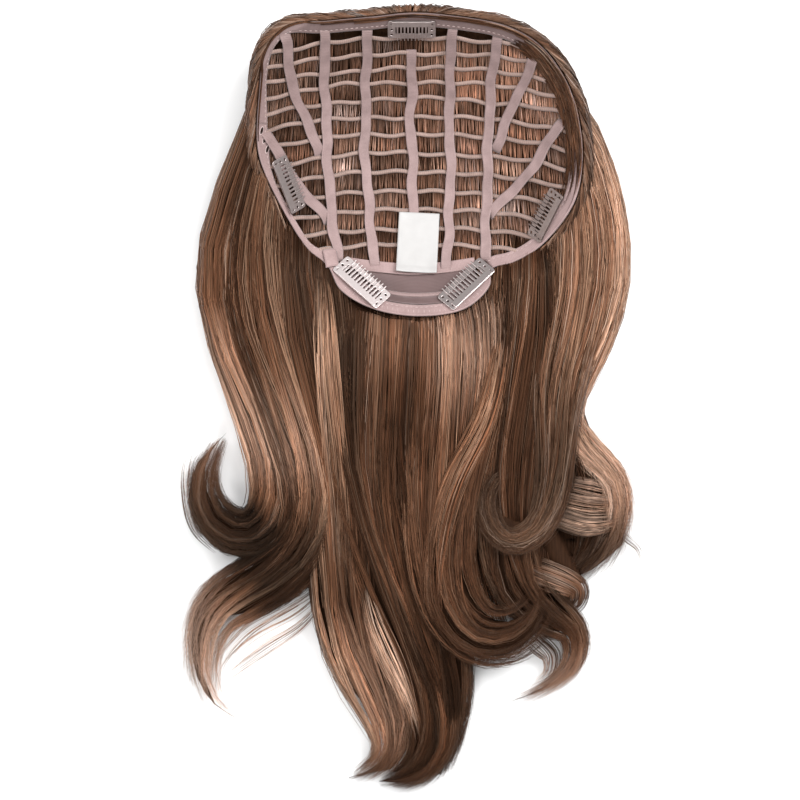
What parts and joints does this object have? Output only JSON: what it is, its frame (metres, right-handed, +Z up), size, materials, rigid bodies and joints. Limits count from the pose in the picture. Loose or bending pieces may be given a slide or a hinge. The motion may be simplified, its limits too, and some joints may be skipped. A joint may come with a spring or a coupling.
{
  "type": "wavy hair extension",
  "caption": "Clip-in half wig of long wavy brown hair on an open wefted cap, lying cap up, with ribbon tapes, a satin nape panel and steel snap clips.",
  "frame": {"origin": "middle of the footprint, on the surface that the piece lies on", "axes": "+X to the right and +Y from the hair's tips to the cap's front edge, both as seen looking down into the cap; +Z up, out of the cap's hollow"},
  "size_m": [0.2845, 0.4923, 0.0706],
  "materials": {
    "hair": "glossy wavy fibre, dark brown with caramel strands",
    "tape": "matt woven tape, pale mauve",
    "satin": "satin, mauve brown",
    "label": "woven white satin, bare",
    "steel": "polished spring steel"
  },
  "bodies": {
    "cap": {"front_band": "tape", "right_band": "tape", "nape_binding": "tape", "left_band": "tape", "weft_01": "tape", "weft_02": "tape", "weft_03": "tape", "weft_04": "tape", "weft_05": "tape", "weft_06": "tape", "weft_07": "tape", "weft_08": "tape", "weft_09": "tape", "weft_10": "tape", "weft_11": "tape", "weft_12": "tape", "weft_13": "tape", "ribbon_left_long": "tape", "ribbon_left_middle": "tape", "ribbon_centre": "tape", "ribbon_right_middle": "tape", "ribbon_right_long": "tape", "ribbon_left_upper": "tape", "ribbon_left_lower": "tape", "ribbon_right_upper": "tape", "ribbon_right_lower": "tape", "nape_band": "tape", "nape_panel": "satin", "label": "label", "front_clip_frame": "steel", "left_clip_frame": "steel", "right_clip_frame": "steel", "nape_left_clip_frame": "steel", "nape_right_clip_frame": "steel", "hair": "hair"},
    "front_clip_lever": {"front_clip_comb": "steel"},
    "left_clip_lever": {"left_clip_comb": "steel"},
    "right_clip_lever": {"right_clip_comb": "steel"},
    "nape_left_clip_lever": {"nape_left_clip_comb": "steel"},
    "nape_right_clip_lever": {"nape_right_clip_comb": "steel"}
  },
  "joints": [
    {"name": "front_clip_hinge", "type": "hinge", "parent": "cap", "child": "front_clip_lever", "pos_m": [0.001, 0.23497, 0.06125], "axis": [-1, -0.001, 0.0009], "range_deg": [0, 50]},
    {"name": "left_clip_hinge", "type": "hinge", "parent": "cap", "child": "left_clip_lever", "pos_m": [-0.08001, 0.1315, 0.04873], "axis": [0.3387, -0.8901, -0.3049], "range_deg": [0, 50]},
    {"name": "right_clip_hinge", "type": "hinge", "parent": "cap", "child": "right_clip_lever", "pos_m": [0.0886, 0.11187, 0.04839], "axis": [0.425, 0.8569, 0.2916], "range_deg": [0, 50]},
    {"name": "nape_left_clip_hinge", "type": "hinge", "parent": "cap", "child": "nape_left_clip_lever", "pos_m": [-0.03523, 0.06916, 0.0365], "axis": [0.7325, -0.6562, 0.1811], "range_deg": [0, 50]},
    {"name": "nape_right_clip_hinge", "type": "hinge", "parent": "cap", "child": "nape_right_clip_lever", "pos_m": [0.04059, 0.06834, 0.03624], "axis": [0.7077, 0.6706, -0.2223], "range_deg": [0, 50]}
  ]
}
